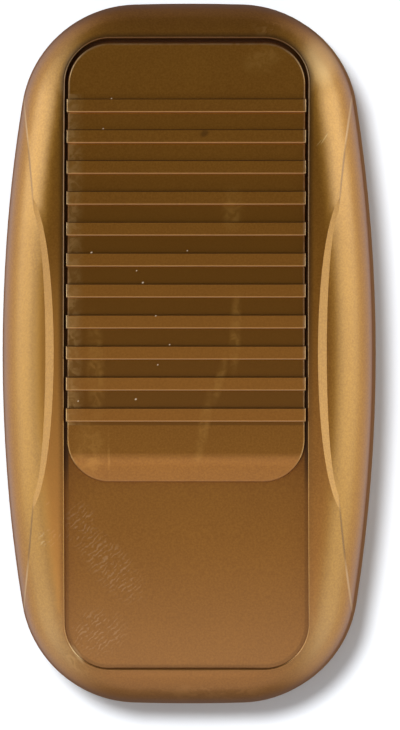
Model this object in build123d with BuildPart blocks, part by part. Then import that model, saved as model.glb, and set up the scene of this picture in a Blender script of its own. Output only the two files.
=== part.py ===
from build123d import *
import os
from math import asin, cos, degrees, floor, radians, sin, sqrt

# Foot dimmer: a floor-standing lamp dimmer worked by a ribbed slide under the sole of a shoe.
# Millimetres. X across the body, Y along it with the dim end of the slide at +Y, Z up.
# The origin lies on the floor under the middle of the body.

# Outside form
body_length = 112.0
body_width = 59.3
body_height = 28.5
side_bow_radius = 260.0
end_bow_radius = 300.0
corner_radius = 18.6
arch_drop = 5.6
edge_round = 8.0
wall = 2.2
parting_height = 8.0

# Waisted land beside the recess, between the bellies of both flanks
land_width = 4.05
waist_radius = 300.0
waist_draft = 1.1
waist_drop = 2.2
belly_drop = 1.2
belly_level = 36.0
belly_end_drop = 1.2

# Recess and the arc on which the slide runs
recess_end_land = 5.7
recess_side_land = 10.2
recess_corner = 7.2
recess_depth = 3.3
recess_edge_round = 0.25
track_radius = 397.0
track_centre_y = -9.9
track_floor = 2.0
track_gap = 0.3

# Ribbed slide
slide_travel = 29.2
slider_side_gap = 0.45
slider_top_gap = 0.7
slider_bottom_gap = 0.6
slider_corner = 6.7
slider_thickness = 2.4
slider_skin = 1.5
slider_rim = 2.6
slider_edge_round = 0.3
bevel_length = 3.5
bevel_drop = 1.3
bevel_blend = 6.0
rib_width = 2.15
rib_height = 0.8
rib_pitch = 4.94
rib_end_stand = 0.12
rib_foot = 0.3
rib_edge_round = 0.15
first_rib_inset = 10.1
lower_pad_least = 9.0

# Stem, keeper and the socket that takes the control lever
stem_width = 14.0
stem_length = 9.0
stem_corner = 1.2
stem_gap = 0.3
keeper_width = 20.0
keeper_length = 14.0
keeper_thickness = 2.0
keeper_corner = 1.5
keeper_screw_offset = 4.9
socket_wall = 1.6
socket_height = 4.3
socket_depth = 3.8
socket_gap = 0.3
keeper_screw_length = 5.5

# Base cover and its feet
foot_stand = 1.0
foot_diameter = 9.0
foot_sink = 0.8
foot_gap = 0.1
foot_x = 20.0
foot_y = 29.0
base_floor = 2.2
base_edge_round = 2.0
lip_height = 1.5
lip_inset = 1.2
lip_gap = 0.15

# Fasteners, as diameter and length of thread, and head
case_screw_diameter = 2.9
case_screw_length = 12.0
case_screw_head = 5.6
case_screw_head_height = 2.0
case_screw_sink = 2.6
case_screw_x = 18.3
case_screw_y = 40.0
case_post_diameter = 8.6
case_boss_diameter = 6.8
small_screw_diameter = 2.2
small_screw_head = 3.8
small_screw_head_height = 1.3
thread_fit = 0.05
hole_play = 0.2

# Cord inlets at both ends, with the clamps behind them
cord_bore_diameter = 7.0
collar_wall = 2.0
collar_length = 6.0
collar_gap = 0.3
clamp_inset = 12.0
clamp_spread = 8.2
clamp_width = 22.0
clamp_length = 6.0
clamp_thickness = 2.4
clamp_tooth = 1.2
clamp_post_diameter = 5.4
clamp_post_height = 6.2
clamp_screw_length = 7.0
bed_rib_width = 1.2
bed_rib_height = 1.5

# Circuit board and its posts
board_width = 47.0
board_length = 70.6
board_thickness = 1.6
board_lift = 2.8
board_corner = 2.0
board_post_diameter = 5.4
board_screw_x = 20.4
board_screw_y = 32.2
board_screw_length = 4.0
pin_diameter = 0.8
pin_hole_play = 0.15
pin_stub = 1.2

# Slide control
control_length = 45.0
control_width = 9.0
control_height = 5.0
control_sheet = 0.5
control_base_thickness = 2.0
control_slot_length = 35.0
control_slot_width = 2.0
lever_width = 1.2
lever_length = 4.0
lever_clearance = 1.9
carriage_length = 8.0
carriage_height = 2.2
carriage_gap = 0.2

# Parts on the board
choke_diameter = 16.0
choke_bore = 8.0
choke_height = 7.0
choke_wire = 0.8
choke_x = -14.0
choke_y = -13.5
choke_turn_angle = 300.0
sink_width = 17.0
sink_length = 21.0
sink_sheet = 1.5
sink_fin_height = 10.0
sink_x = 14.2
sink_y = -14.5
triac_width = 10.0
triac_length = 9.2
triac_thickness = 4.4
triac_tab_length = 6.4
triac_tab_thickness = 1.3
triac_lead_pitch = 2.54
triac_lead_width = 0.8
triac_lead_thickness = 0.5
triac_lead_reach = 4.5
capacitor_width = 8.0
capacitor_length = 17.5
capacitor_height = 10.5
capacitor_round = 0.8
capacitor_x = 16.0
capacitor_y = 11.5
capacitor_pin_pitch = 15.0
fuse_diameter = 5.0
fuse_length = 20.0
fuse_glass_wall = 0.6
fuse_cap_length = 5.5
fuse_cap_wall = 0.3
fuse_x = -15.0
fuse_y = 13.5
fuse_axis_height = 4.8
clip_sheet = 0.4
clip_length = 4.5
clip_mouth = 3.6
terminal_width = 11.0
terminal_length = 8.4
terminal_height = 9.6
terminal_y = 29.6
terminal_pitch = 5.0
terminal_entry_diameter = 3.2
terminal_entry_height = 3.2
terminal_screw_diameter = 2.5
terminal_screw_head = 3.4
terminal_screw_head_height = 1.4
terminal_screw_length = 2.6
terminal_screw_sink = 2.6
film_width = 2.6
film_length = 7.2
film_height = 6.5
film_x = 10.0
film_pitch = 4.6
film_pin_pitch = 5.0
part_row_y = 29.6
resistor_diameter = 2.4
resistor_length = 6.4
resistor_x = -9.6
resistor_pitch = 4.4
diac_diameter = 1.9
diac_length = 4.2
diac_x = 10.2
lead_diameter = 0.6
lead_reach = 1.6
lead_lift = 0.6


def arc_radius(rise, half_span):
    return (half_span**2 + rise**2) / (2 * rise)


# Heights and places that follow from the sizes above
half_length = body_length / 2
half_width = body_width / 2
arch_radius = arc_radius(arch_drop, half_length)
waist_foot = body_height - waist_drop
belly_crown = body_height - belly_drop
belly_radius = arc_radius(arch_drop + belly_end_drop - belly_drop, half_length - belly_level / 2)
cavity_crown = belly_crown - wall
cavity_arch_radius = arc_radius(arch_drop - belly_drop, half_length)
recess_length = body_length - 2 * recess_end_land
recess_width = body_width - 2 * recess_side_land
waist_half_width = recess_width / 2 + land_width

track_centre_z = body_height - recess_depth - track_radius
slide_radius = track_radius + track_gap
slide_top_radius = slide_radius + slider_thickness
keeper_top_radius = track_radius - track_floor - track_gap
keeper_bottom_radius = keeper_top_radius - keeper_thickness
slider_width = recess_width - 2 * slider_side_gap
slider_upper_end = recess_length / 2 - slider_top_gap
slider_lower_end = slide_travel + slider_bottom_gap - recess_length / 2
slider_length = slider_upper_end - slider_lower_end
slider_middle = (slider_upper_end + slider_lower_end) / 2
slide_angle = degrees(slide_travel / slide_top_radius)
stem_angle = degrees(asin((slide_travel / 2 - track_centre_y) / track_radius))
rib_count = 1 + floor((slider_length - first_rib_inset - lower_pad_least) / rib_pitch)
first_rib_angle = degrees(asin((slider_upper_end - first_rib_inset - track_centre_y) / slide_top_radius))
rib_angle_pitch = degrees(rib_pitch / slide_top_radius)
slot_lean = track_floor * sin(radians(slide_angle))
slot_length = stem_length + 2 * stem_gap + slide_travel + 2 * slot_lean

base_inside = foot_stand + base_floor
board_bottom = base_inside + board_lift
board_top = board_bottom + board_thickness
control_top = board_top + control_height
lever_top = track_centre_z + keeper_bottom_radius - lever_clearance
lever_grip_radius = keeper_bottom_radius - socket_height / 2
lever_rest_y = track_centre_y + lever_grip_radius * sin(radians(stem_angle))
control_middle = lever_rest_y - lever_grip_radius * radians(slide_angle) / 2
clamp_y = half_length - clamp_inset
clamp_seat = base_inside + clamp_post_height
case_screw_seat = foot_stand + case_screw_sink
pin_length = board_thickness + pin_stub

corners = [(1, 1), (-1, 1), (-1, -1), (1, -1)]
case_screw_places = [(x * case_screw_x, y * case_screw_y) for x, y in corners]
board_screw_places = [(x * board_screw_x, y * board_screw_y) for x, y in corners]
foot_places = [(x * foot_x, y * foot_y) for x, y in corners]
clamp_screw_places = [(x * clamp_spread, y * clamp_y) for x, y in corners]
terminal_pin_places = [(x * terminal_pitch / 2, y * terminal_y) for x, y in corners]
fuse_clip_places = [(fuse_x, fuse_y + side * (fuse_length - fuse_cap_length) / 2) for side in (1, -1)]
film_places = [(film_x + step * film_pitch, part_row_y) for step in (0, 1)]
resistor_places = [(resistor_x - step * resistor_pitch, part_row_y) for step in (0, 1)]
resistor_places.append((resistor_x, -part_row_y))
control_pin_places = [
    (side * control_width / 4, control_middle + end * (control_length / 2 - 2.5))
    for side in (1, -1)
    for end in (1, -1)
]
capacitor_pin_places = [(capacitor_x, capacitor_y + side * capacitor_pin_pitch / 2) for side in (1, -1)]
film_pin_places = [(x, y + side * film_pin_pitch / 2) for x, y in film_places for side in (1, -1)]
resistor_lead_offset = resistor_length / 2 + lead_reach
resistor_pin_places = [(x, y + side * resistor_lead_offset) for x, y in resistor_places for side in (1, -1)]
diac_lead_offset = diac_length / 2 + lead_reach
diac_pin_places = [(diac_x, -part_row_y + side * diac_lead_offset) for side in (1, -1)]
triac_screw_x = sink_x - sink_sheet / 2
triac_lead_y = sink_y + sink_length / 2 + triac_lead_reach / 2
triac_pin_places = [(triac_screw_x + step * triac_lead_pitch, triac_lead_y) for step in (-1, 0, 1)]
terminal_screw_seat = board_top + terminal_height - terminal_screw_sink
choke_pin_radius = (choke_diameter + choke_bore) / 4
choke_pin_places = [(choke_x + side * choke_pin_radius, choke_y) for side in (1, -1)]
pin_places = [
    *control_pin_places,
    *choke_pin_places,
    *triac_pin_places,
    *capacitor_pin_places,
    *film_pin_places,
    *resistor_pin_places,
    *diac_pin_places,
    *fuse_clip_places,
    *terminal_pin_places,
]


def body_outline(growth):
    """The plan of the case: bowed sides and ends joined by large corners."""
    side_radius = side_bow_radius + growth
    end_radius = end_bow_radius + growth
    side_offset = side_radius - half_width - growth
    end_offset = end_radius - half_length - growth
    with BuildSketch() as plan:
        with Locations((-side_offset, 0)):
            Circle(side_radius)
        with Locations((side_offset, 0)):
            Circle(side_radius, mode=Mode.INTERSECT)
        with Locations((0, -end_offset)):
            Circle(end_radius, mode=Mode.INTERSECT)
        with Locations((0, end_offset)):
            Circle(end_radius, mode=Mode.INTERSECT)
        fillet(plan.vertices(), corner_radius + growth)
    return plan.sketch


def side_view(crown, radius, level=None):
    """The view along X of a top that arches from its crown, or from both ends of a level stretch."""
    with BuildSketch(Plane.YZ) as view:
        with Locations((0, crown - radius)):
            if level:
                SlotCenterToCenter(level, 2 * radius)
            else:
                Circle(radius)
    return view.sketch


def rolled_blank(growth, view, round_radius):
    """A block on the parting plane with the case's plan, cut to a side view, its upper edges rolled."""
    with BuildPart() as blank:
        with BuildSketch(Plane.XY.offset(parting_height)):
            add(body_outline(growth))
        extrude(amount=body_height)
        extrude(view, amount=body_width, both=True, mode=Mode.INTERSECT)
        lower_edges = blank.faces().sort_by(Axis.Z)[0].edges()
        upright_edges = blank.edges().filter_by(Axis.Z)
        cross_edges = blank.edges().filter_by(Axis.X)
        fillet(blank.edges() - lower_edges - upright_edges - cross_edges, round_radius)
    return blank.part


def track_cylinder(radius, mode):
    """A cylinder about the axis that the slide swings on, far below the case."""
    with Locations((0, track_centre_y, track_centre_z)):
        Cylinder(radius, 2 * body_width, rotation=(0, 90, 0), mode=mode)


def track_plane(radius, angle):
    """A plane square to the track's radius, at an angle from the vertical towards +Y."""
    lean = radians(angle)
    middle = (0, track_centre_y + radius * sin(lean), track_centre_z + radius * cos(lean))
    return Plane(origin=middle, x_dir=(1, 0, 0), z_dir=(0, sin(lean), cos(lean)))


def recess_block(growth, floor_radius):
    """What lies above the recess floor, within the recess plan grown by a wall."""
    with BuildPart() as block:
        with BuildSketch():
            RectangleRounded(recess_width + 2 * growth, recess_length + 2 * growth, recess_corner + growth)
        extrude(amount=2 * body_height)
        track_cylinder(floor_radius, Mode.SUBTRACT)
    return block.part


def track_top(y):
    """The height of the recess floor at a place along the case."""
    return track_centre_z + sqrt(track_radius**2 - (y - track_centre_y) ** 2)


def on_recess_side(point):
    """Whether a point lies within the recess plan and clear above its floor."""
    within = abs(point.X) < recess_width / 2 + thread_fit and abs(point.Y) < recess_length / 2 + thread_fit
    return within and point.Z > track_top(point.Y) + recess_edge_round


def track_distance(point):
    """How far a point lies from the axis that the slide swings on."""
    return sqrt((point.Y - track_centre_y) ** 2 + (point.Z - track_centre_z) ** 2)


def screw(head_diameter, head_height, diameter, length):
    """A pan-head screw that points up, with the underside of its head at the origin."""
    with BuildPart() as one_screw:
        Cylinder(diameter / 2, length, align=(Align.CENTER, Align.CENTER, Align.MIN))
        chamfer(one_screw.edges().sort_by(Axis.Z)[-1], diameter / 5)
        Cylinder(head_diameter / 2, head_height, align=(Align.CENTER, Align.CENTER, Align.MAX))
        chamfer(one_screw.edges().sort_by(Axis.Z)[0], 0.3 * head_height)
        with BuildSketch(Plane.XY.offset(-head_height)):
            Rectangle(0.66 * head_diameter, 0.16 * head_diameter)
            Rectangle(0.16 * head_diameter, 0.66 * head_diameter)
        extrude(amount=0.45 * head_height, mode=Mode.SUBTRACT)
    return one_screw.part


def screws_up(one_screw, places, seat_height):
    """Screws driven up from below, heads at the bottom."""
    with BuildPart() as group:
        with Locations(*[(x, y, seat_height) for x, y in places]):
            add(one_screw)
    return group.part


def screws_down(one_screw, places, seat_height):
    """Screws driven down from above, heads at the top."""
    with BuildPart() as group:
        with Locations(*[Location((x, y, seat_height), (180, 0, 0)) for x, y in places]):
            add(one_screw)
    return group.part


def posts(places, bottom, top, diameter, mode=Mode.ADD):
    with Locations(*[(x, y, bottom) for x, y in places]):
        Cylinder(diameter / 2, top - bottom, align=(Align.CENTER, Align.CENTER, Align.MIN), mode=mode)


def pins(places):
    """Pins from the top of the board down through it."""
    posts(places, board_top - pin_length, board_top, pin_diameter)


def cord_cylinders(diameter, reach, mode):
    """Cylinders about the cord's axis, from each end of the case inwards."""
    with Locations((0, half_length - reach / 2, parting_height), (0, reach / 2 - half_length, parting_height)):
        Cylinder(diameter / 2, reach, rotation=(90, 0, 0), mode=mode)


def axial_part(places, diameter, length, lead_offset):
    """Small parts that lie along Y on the board, with their leads bent down into it."""
    axis_height = board_top + lead_lift + diameter / 2
    with BuildPart() as group:
        for x, y in places:
            with BuildSketch(Plane.XZ.offset(-y - length / 2)):
                with Locations((x, axis_height)):
                    Circle(diameter / 2)
            extrude(amount=length)
            with Locations((x, y, axis_height)):
                Cylinder(lead_diameter / 2, 2 * lead_offset + lead_diameter, rotation=(90, 0, 0))
        lead_ends = [(x, y + side * lead_offset) for x, y in places for side in (1, -1)]
        posts(lead_ends, board_top - pin_length, axis_height, lead_diameter)
    return group.part


# The room outside the waist is upright below and drafted above.
with BuildPart() as flank_room:
    room_x = waist_half_width + waist_radius
    with Locations((room_x, 0, parting_height), (-room_x, 0, parting_height)):
        Cylinder(waist_radius, waist_foot - parting_height, align=(Align.CENTER, Align.CENTER, Align.MIN))
    with Locations((room_x, 0, waist_foot), (-room_x, 0, waist_foot)):
        Cone(
            waist_radius,
            waist_radius + 2 * waist_draft * waist_drop,
            2 * waist_drop,
            align=(Align.CENTER, Align.CENTER, Align.MIN),
        )

# A belly with a level crown fills that room on both flanks and falls away just below the arched top.
with BuildPart() as flank_bellies:
    add(rolled_blank(0, side_view(belly_crown, belly_radius, belly_level), edge_round))
    add(flank_room.part, mode=Mode.INTERSECT)

# The hollow of the upper shell leaves the recess floor, its walls, the bosses and the collars standing.
with BuildPart() as shell_hollow:
    add(rolled_blank(-wall, side_view(cavity_crown, cavity_arch_radius), edge_round - wall / 2))
    add(recess_block(wall, track_radius - track_floor), mode=Mode.SUBTRACT)
    posts(case_screw_places, parting_height, body_height, case_boss_diameter, Mode.SUBTRACT)
    cord_cylinders(cord_bore_diameter + 2 * collar_wall, wall + collar_length, Mode.SUBTRACT)

# The groove inside the upper shell's rim takes the lip of the base cover.
with BuildPart() as lip_groove:
    with BuildSketch(Plane.XY.offset(parting_height)):
        add(body_outline(-lip_inset))
    extrude(amount=lip_height + lip_gap)
    posts(case_screw_places, parting_height, body_height, case_boss_diameter, Mode.SUBTRACT)
    cord_cylinders(cord_bore_diameter + 2 * collar_wall, wall + collar_length, Mode.SUBTRACT)

with BuildPart() as top_housing:
    add(rolled_blank(0, side_view(body_height, arch_radius), edge_round))
    add(flank_room.part, mode=Mode.SUBTRACT)
    add(flank_bellies.part)
    add(shell_hollow.part, mode=Mode.SUBTRACT)
    add(lip_groove.part, mode=Mode.SUBTRACT)
    add(recess_block(0, track_radius), mode=Mode.SUBTRACT)
    level_edges = top_housing.edges().filter_by(lambda e: abs(e.tangent_at(0.5).Z) < 0.5)
    rim_edges = level_edges.filter_by(lambda e: on_recess_side(e.center()))
    fillet(rim_edges, recess_edge_round)
    with BuildSketch():
        RectangleRounded(stem_width + 2 * stem_gap, slot_length, stem_corner + stem_gap)
    extrude(amount=body_height, mode=Mode.SUBTRACT)
    cord_cylinders(cord_bore_diameter, 2 * collar_length + wall, Mode.SUBTRACT)
    pilot_top = case_screw_seat + case_screw_length + hole_play
    posts(case_screw_places, 0, pilot_top, case_screw_diameter + 2 * thread_fit, Mode.SUBTRACT)

# The lower halves of the cord collars stand on the base floor.
with BuildPart() as base_collars:
    cord_cylinders(cord_bore_diameter + 2 * collar_wall, wall + collar_length, Mode.ADD)
    with BuildSketch(Plane.XY.offset(base_inside - foot_stand / 2)):
        add(body_outline(-wall / 2))
    extrude(amount=parting_height - base_inside + foot_stand / 2, mode=Mode.INTERSECT)

# The lip stands inside the rim and stops short of the collars.
with BuildPart() as base_lip:
    with BuildSketch(Plane.XY.offset(parting_height - lip_height)):
        add(body_outline(-lip_inset - lip_gap))
        add(body_outline(-wall), mode=Mode.SUBTRACT)
    extrude(amount=2 * lip_height)
    cord_cylinders(cord_bore_diameter + 2 * collar_wall + 2 * collar_gap, 2 * wall, Mode.SUBTRACT)

with BuildPart() as base_cover:
    with BuildSketch(Plane.XY.offset(foot_stand)):
        add(body_outline(0))
    extrude(amount=parting_height - foot_stand)
    fillet(base_cover.faces().sort_by(Axis.Z)[0].edges(), base_edge_round)
    with BuildSketch(Plane.XY.offset(base_inside)):
        add(body_outline(-wall))
    extrude(amount=body_height, mode=Mode.SUBTRACT)
    add(base_lip.part)
    add(base_collars.part)
    posts(case_screw_places, base_inside, parting_height, case_post_diameter)
    posts(board_screw_places, base_inside, board_bottom, board_post_diameter)
    posts(clamp_screw_places, base_inside, clamp_seat, clamp_post_diameter)
    with BuildSketch(Plane.XY.offset(base_inside)):
        with Locations(*[(0, end * clamp_y + side * clamp_length / 4) for end in (1, -1) for side in (1, -1)]):
            Rectangle(2 * clamp_spread, bed_rib_width)
    extrude(amount=bed_rib_height)
    cord_cylinders(cord_bore_diameter, wall + collar_length, Mode.SUBTRACT)
    posts(case_screw_places, 0, case_screw_seat, case_screw_head + 2 * hole_play, Mode.SUBTRACT)
    posts(case_screw_places, 0, parting_height, case_screw_diameter + 2 * hole_play, Mode.SUBTRACT)
    pilot_bottom = board_top - board_screw_length - hole_play
    posts(board_screw_places, pilot_bottom, board_bottom, small_screw_diameter + 2 * thread_fit, Mode.SUBTRACT)
    pilot_bottom = clamp_seat + clamp_thickness - clamp_screw_length - hole_play
    posts(clamp_screw_places, pilot_bottom, clamp_seat, small_screw_diameter + 2 * thread_fit, Mode.SUBTRACT)
    posts(foot_places, 0, foot_stand + foot_sink, foot_diameter + 2 * foot_gap, Mode.SUBTRACT)

with BuildPart() as rubber_feet:
    posts(foot_places, 0, foot_stand + foot_sink, foot_diameter)
    chamfer(rubber_feet.edges().group_by(Axis.Z)[0], foot_stand / 2)

# The hollow under the slide leaves a rim for it to run on.
with BuildPart() as slider_relief:
    with BuildSketch():
        with Locations((0, slider_middle)):
            RectangleRounded(
                slider_width - 2 * slider_rim,
                slider_length - 2 * slider_rim,
                slider_corner - slider_rim,
            )
    extrude(amount=2 * body_height)
    track_cylinder(slide_top_radius - slider_skin, Mode.INTERSECT)

with BuildPart() as foot_slider:
    with BuildSketch():
        with Locations((0, slider_middle)):
            RectangleRounded(slider_width, slider_length, slider_corner)
    extrude(amount=2 * body_height)
    track_cylinder(slide_top_radius, Mode.INTERSECT)
    track_cylinder(slide_radius, Mode.SUBTRACT)
    bevel_start = slider_lower_end + bevel_length
    bevel_top = track_centre_z + sqrt(slide_top_radius**2 - (bevel_start - track_centre_y) ** 2)
    with BuildSketch(Plane.YZ):
        Polygon(
            (bevel_start, bevel_top),
            (bevel_start - 2 * bevel_length, bevel_top + bevel_drop),
            (bevel_start - 2 * bevel_length, bevel_top - 2 * bevel_drop),
            align=None,
        )
    extrude(amount=slider_width, both=True, mode=Mode.SUBTRACT)
    bevel_edge = foot_slider.edges().filter_by(Axis.X).filter_by(lambda e: abs(e.center().Y - bevel_start) < 0.1)
    fillet(bevel_edge, bevel_blend)
    inner_blend_edges = foot_slider.edges().filter_by(Axis.X).filter_by(
        lambda e: abs(e.center().Y - bevel_start) < 1.5 * bevel_length - 0.1 and e.center().Y > slider_lower_end + 0.1
    )
    top_faces = foot_slider.faces().filter_by(lambda f: f.normal_at(f.center()).Z > 0.9)
    fillet(top_faces.edges() - inner_blend_edges, slider_edge_round)
    for rib in range(rib_count):
        with BuildSketch(track_plane(slide_radius + rib_foot, first_rib_angle - rib * rib_angle_pitch)):
            Rectangle(slider_width + 2 * rib_end_stand, rib_width)
        extrude(amount=slider_thickness - rib_foot + rib_height)
    rib_top_edges = foot_slider.edges().filter_by(
        lambda e: track_distance(e.center()) > slide_top_radius + rib_height - rib_edge_round / 2
    )
    fillet(rib_top_edges, rib_edge_round)
    add(slider_relief.part, mode=Mode.SUBTRACT)
    stem_bottom = track_plane(keeper_top_radius, stem_angle)
    with BuildSketch(stem_bottom):
        RectangleRounded(stem_width, stem_length, stem_corner)
    extrude(amount=slide_top_radius - slider_skin / 2 - keeper_top_radius)

    with BuildSketch(stem_bottom):
        with Locations((keeper_screw_offset, 0), (-keeper_screw_offset, 0)):
            Circle(small_screw_diameter / 2 + thread_fit)
    extrude(amount=keeper_screw_length - keeper_thickness + hole_play, mode=Mode.SUBTRACT)

# The keeper holds the slide down from inside and drives the control's lever.
keeper_plane = track_plane(keeper_bottom_radius, stem_angle)
with BuildPart() as slider_keeper:
    with BuildSketch(keeper_plane):
        RectangleRounded(keeper_width, keeper_length, keeper_corner)
    extrude(amount=keeper_thickness)
    with BuildSketch(keeper_plane):
        Rectangle(lever_width + 2 * (socket_gap + socket_wall), lever_length + 2 * (socket_gap + socket_wall))
    extrude(amount=-socket_height)
    with BuildSketch(keeper_plane.offset(-socket_height)):
        Rectangle(lever_width + 2 * socket_gap, lever_length + 2 * socket_gap)
    extrude(amount=socket_depth, mode=Mode.SUBTRACT)
    with BuildSketch(keeper_plane):
        with Locations((keeper_screw_offset, 0), (-keeper_screw_offset, 0)):
            Circle(small_screw_diameter / 2 + hole_play)
    extrude(amount=keeper_thickness, mode=Mode.SUBTRACT)

small_screw = screw(small_screw_head, small_screw_head_height, small_screw_diameter, keeper_screw_length)
with BuildPart() as keeper_screws:
    with Locations(*[keeper_plane.location * Location((side * keeper_screw_offset, 0, 0)) for side in (1, -1)]):
        add(small_screw)

with BuildPart() as circuit_board:
    with BuildSketch(Plane.XY.offset(board_bottom)):
        RectangleRounded(board_width, board_length, board_corner)
        with Locations(*board_screw_places):
            Circle(small_screw_diameter / 2 + hole_play, mode=Mode.SUBTRACT)
        with Locations(*pin_places):
            Circle(pin_diameter / 2 + pin_hole_play, mode=Mode.SUBTRACT)
    extrude(amount=board_thickness)

with BuildPart() as control_cover:
    with Locations((0, control_middle, board_top)):
        Box(control_width, control_length, control_height, align=(Align.CENTER, Align.CENTER, Align.MIN))
        Box(
            control_width - 2 * control_sheet,
            control_length - 2 * control_sheet,
            control_height - control_sheet,
            align=(Align.CENTER, Align.CENTER, Align.MIN),
            mode=Mode.SUBTRACT,
        )
    with BuildSketch(Plane.XY.offset(control_top)):
        with Locations((0, control_middle)):
            SlotOverall(control_slot_length, control_slot_width, rotation=90)
    extrude(amount=-control_sheet, mode=Mode.SUBTRACT)
    fillet(control_cover.edges().filter_by(Axis.Z).group_by(SortBy.LENGTH)[-1], control_sheet / 2)

with BuildPart() as control_base:
    with Locations((0, control_middle, board_top)):
        Box(
            control_width - 2 * control_sheet - 2 * thread_fit,
            control_length - 2 * control_sheet - 2 * thread_fit,
            control_base_thickness,
            align=(Align.CENTER, Align.CENTER, Align.MIN),
        )
    pins(control_pin_places)

with BuildPart() as control_lever:
    with Locations((0, lever_rest_y, board_top + control_base_thickness + carriage_gap)):
        Box(
            control_width - 2 * control_sheet - 2 * carriage_gap,
            carriage_length,
            carriage_height,
            align=(Align.CENTER, Align.CENTER, Align.MIN),
        )
        lever_reach = lever_top - board_top - control_base_thickness - carriage_gap
        Box(lever_width, lever_length, lever_reach, align=(Align.CENTER, Align.CENTER, Align.MIN))
    chamfer(control_lever.edges().group_by(Axis.Z)[-1], lever_width / 4)

# A flat coil of copper wire lies round most of the choke's ring.
ring_width = (choke_diameter - choke_bore) / 2
ring_middle = choke_bore / 2 + ring_width / 2
ring_height = board_top + choke_wire + thread_fit + choke_height / 2
choke_plane = Plane.XZ.offset(-choke_y)
choke_axis = Axis((choke_x, choke_y, 0), (0, 0, 1))
with BuildPart() as choke_core:
    with BuildSketch(choke_plane) as choke_section:
        with Locations((choke_x + ring_middle, ring_height)):
            Rectangle(ring_width, choke_height)
        chamfer(choke_section.vertices(), choke_wire)
    revolve(axis=choke_axis)

with BuildPart() as choke_winding:
    with BuildSketch(choke_plane) as winding_section:
        with Locations((choke_x + ring_middle, ring_height)):
            play = 2 * thread_fit
            Rectangle(ring_width + 2 * choke_wire + play, choke_height + 2 * choke_wire + play)
        chamfer(winding_section.vertices(), 1.6 * choke_wire)
        with Locations((choke_x + ring_middle, ring_height)):
            Rectangle(ring_width + play, choke_height + play, mode=Mode.SUBTRACT)
    revolve(axis=choke_axis, revolution_arc=choke_turn_angle)
    pins(choke_pin_places)

# The sink is a folded plate that lies on the board, with its upright leg to the outside.
sink_outer_x = sink_x + sink_width / 2
triac_screw_y = sink_y - sink_length / 2 + triac_tab_length / 2 + 2 * sink_sheet
triac_body_y = triac_screw_y + triac_tab_length / 2 + triac_length / 2
triac_seat = board_top + sink_sheet
with BuildPart() as heat_sink:
    with BuildSketch(Plane.XZ.offset(-sink_y - sink_length / 2)):
        with BuildLine():
            Polyline(
                (sink_outer_x - sink_width, board_top),
                (sink_outer_x, board_top),
                (sink_outer_x, board_top + sink_fin_height),
                (sink_outer_x - sink_sheet, board_top + sink_fin_height),
                (sink_outer_x - sink_sheet, triac_seat),
                (sink_outer_x - sink_width, triac_seat),
                close=True,
            )
        make_face()
    extrude(amount=sink_length)
    bend = heat_sink.edges().filter_by(Axis.Y)
    fillet(bend.filter_by(lambda e: e.center().Z < triac_seat + 0.1 and e.center().X > sink_x)[0], sink_sheet / 2)
    with Locations((triac_screw_x, triac_screw_y, board_top)):
        Cylinder(
            case_screw_diameter / 2 + thread_fit,
            sink_sheet,
            align=(Align.CENTER, Align.CENTER, Align.MIN),
            mode=Mode.SUBTRACT,
        )

with BuildPart() as triac:
    with Locations((triac_screw_x, triac_body_y, triac_seat)):
        Box(triac_width, triac_length, triac_thickness, align=(Align.CENTER, Align.CENTER, Align.MIN))
    chamfer(triac.edges().group_by(Axis.Z)[-1], triac_tab_thickness / 3)
    with Locations((triac_screw_x, triac_screw_y, triac_seat)):
        Box(triac_width, triac_tab_length, triac_tab_thickness, align=(Align.CENTER, Align.CENTER, Align.MIN))
        Cylinder(
            case_screw_diameter / 2 + hole_play,
            2 * triac_tab_thickness,
            mode=Mode.SUBTRACT,
        )
    lead_height = triac_seat + triac_thickness / 2
    lead_start = triac_body_y + triac_length / 2
    for x, y in triac_pin_places:
        with Locations((x, (lead_start + y) / 2, lead_height)):
            Box(triac_lead_width, y - lead_start + triac_lead_thickness, triac_lead_thickness)
        with Locations((x, y, lead_height + triac_lead_thickness / 2)):
            Box(
                triac_lead_width,
                triac_lead_thickness,
                lead_height + triac_lead_thickness / 2 - board_top + pin_length,
                align=(Align.CENTER, Align.CENTER, Align.MAX),
            )

triac_screw_seat = triac_seat + triac_tab_thickness
triac_screw_length = triac_tab_thickness + sink_sheet - thread_fit
tab_screw = screw(case_screw_head, case_screw_head_height, case_screw_diameter, triac_screw_length)

with BuildPart() as suppression_capacitor:
    with Locations((capacitor_x, capacitor_y, board_top)):
        Box(capacitor_width, capacitor_length, capacitor_height, align=(Align.CENTER, Align.CENTER, Align.MIN))
    fillet(suppression_capacitor.edges().filter_by(Axis.Z), capacitor_round)
    fillet(suppression_capacitor.edges().group_by(Axis.Z)[-1], capacitor_round)
    pins(capacitor_pin_places)

with BuildPart() as timing_capacitors:
    with Locations(*[(x, y, board_top) for x, y in film_places]):
        Box(film_width, film_length, film_height, align=(Align.CENTER, Align.CENTER, Align.MIN))
    fillet(timing_capacitors.edges().group_by(Axis.Z)[-1], film_width / 5)
    pins(film_pin_places)

resistors = axial_part(resistor_places, resistor_diameter, resistor_length, resistor_lead_offset)
diac = axial_part([(diac_x, -part_row_y)], diac_diameter, diac_length, diac_lead_offset)

fuse_plane = Plane.XZ.offset(-fuse_y)
fuse_centre = (fuse_x, board_top + fuse_axis_height)
cap_bore = fuse_diameter / 2 + thread_fit
with BuildPart() as fuse_glass:
    with BuildSketch(fuse_plane):
        with Locations(fuse_centre):
            Circle(fuse_diameter / 2)
            Circle(fuse_diameter / 2 - fuse_glass_wall, mode=Mode.SUBTRACT)
    extrude(amount=fuse_length / 2 - fuse_cap_wall, both=True)

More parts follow.
